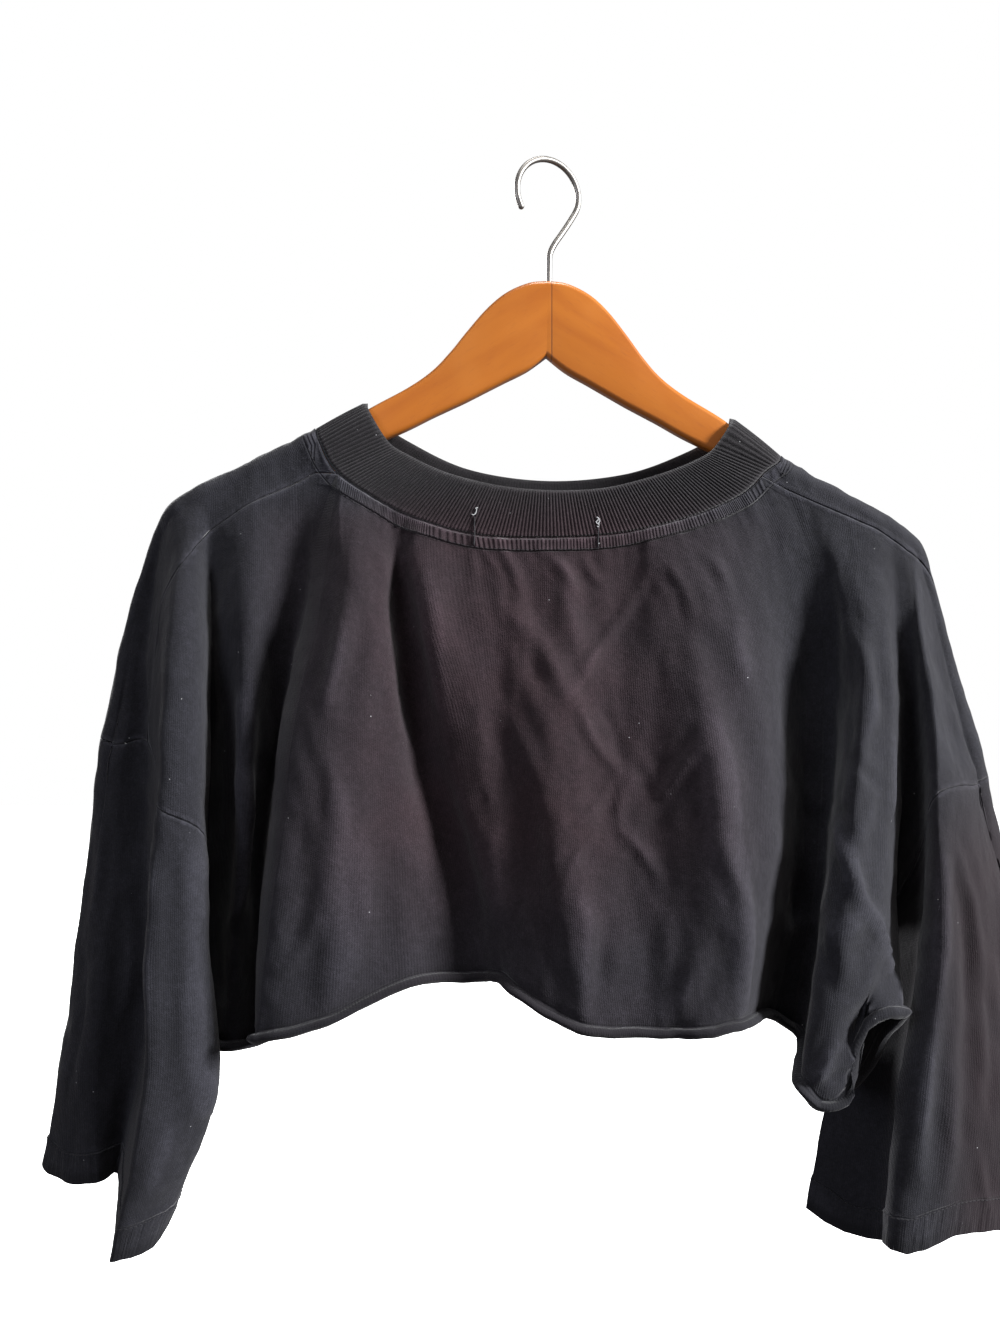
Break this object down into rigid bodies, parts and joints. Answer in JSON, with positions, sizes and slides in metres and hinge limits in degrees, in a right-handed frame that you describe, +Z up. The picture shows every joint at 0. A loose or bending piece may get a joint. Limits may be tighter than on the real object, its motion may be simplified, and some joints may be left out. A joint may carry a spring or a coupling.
{
  "type": "crop top on a hanger",
  "caption": "Oversized drop-shoulder jersey crop top with a wide ribbed collar and short wide sleeves, hung on a flat wooden hanger.",
  "frame": {"origin": "underside of the hook's crown, where a rail carries the hanger", "axes": "+Z up; +X towards the garment's right-hand side as seen from the shown side; -Y out of the shown side, which is the garment's back"},
  "size_m": [0.658, 0.1286, 0.6733],
  "materials": {
    "washed_jersey": "matte, washed black",
    "ribbed_jersey": "matte rib knit",
    "varnished_wood": "satin varnish",
    "steel_wire": "plated wire"
  },
  "bodies": {
    "root": {"back_panel": "washed_jersey", "front_panel": "washed_jersey", "left_sleeve": "washed_jersey", "right_sleeve": "washed_jersey", "rib_collar": "ribbed_jersey", "hanger_left": "varnished_wood", "hanger_right": "varnished_wood", "hook": "steel_wire"}
  },
  "joints": []
}
